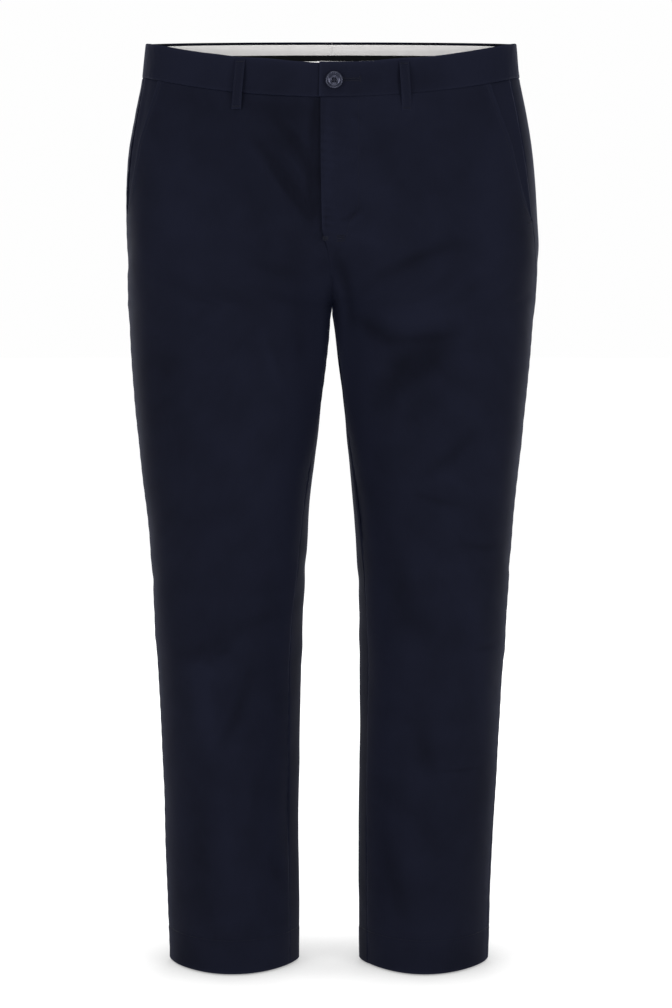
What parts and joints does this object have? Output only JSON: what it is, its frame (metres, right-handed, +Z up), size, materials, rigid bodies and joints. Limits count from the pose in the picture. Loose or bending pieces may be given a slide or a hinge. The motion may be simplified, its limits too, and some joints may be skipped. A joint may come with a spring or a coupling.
{
  "type": "chino trousers",
  "caption": "Navy straight-leg chino trousers, filled out as worn, with a buttoned waistband, belt loops, a fly, slanted side pockets and open hems.",
  "frame": {"origin": "centre of the waist opening, half-way up the waistband at the sides, where a wearer holds the trousers up", "axes": "+Z up along the trousers from the hems to the waist, -Y to the wearer's front, +X to the wearer's left"},
  "size_m": [0.474, 0.2503, 1.0628],
  "materials": {
    "chino_cloth": "matt cotton twill, navy",
    "facing_cloth": "plain pale cotton",
    "curtain_cloth": "plain near-black cotton",
    "button_plastic": "semi-matt dark grey resin"
  },
  "bodies": {
    "root": {"front_left": "chino_cloth", "front_right": "chino_cloth", "back_left": "chino_cloth", "back_right": "chino_cloth", "waistband_left": "chino_cloth", "waistband_right": "chino_cloth", "waist_facing_left": "facing_cloth", "waist_facing_right": "facing_cloth", "waist_curtain_left": "curtain_cloth", "waist_curtain_right": "curtain_cloth", "fly_underlap": "chino_cloth", "pocket_facing_left": "chino_cloth", "pocket_facing_right": "chino_cloth", "belt_loop_front_left": "chino_cloth", "belt_loop_front_right": "chino_cloth", "belt_loop_side_left": "chino_cloth", "belt_loop_side_right": "chino_cloth", "belt_loop_back": "chino_cloth", "waist_button": "button_plastic"}
  },
  "joints": []
}
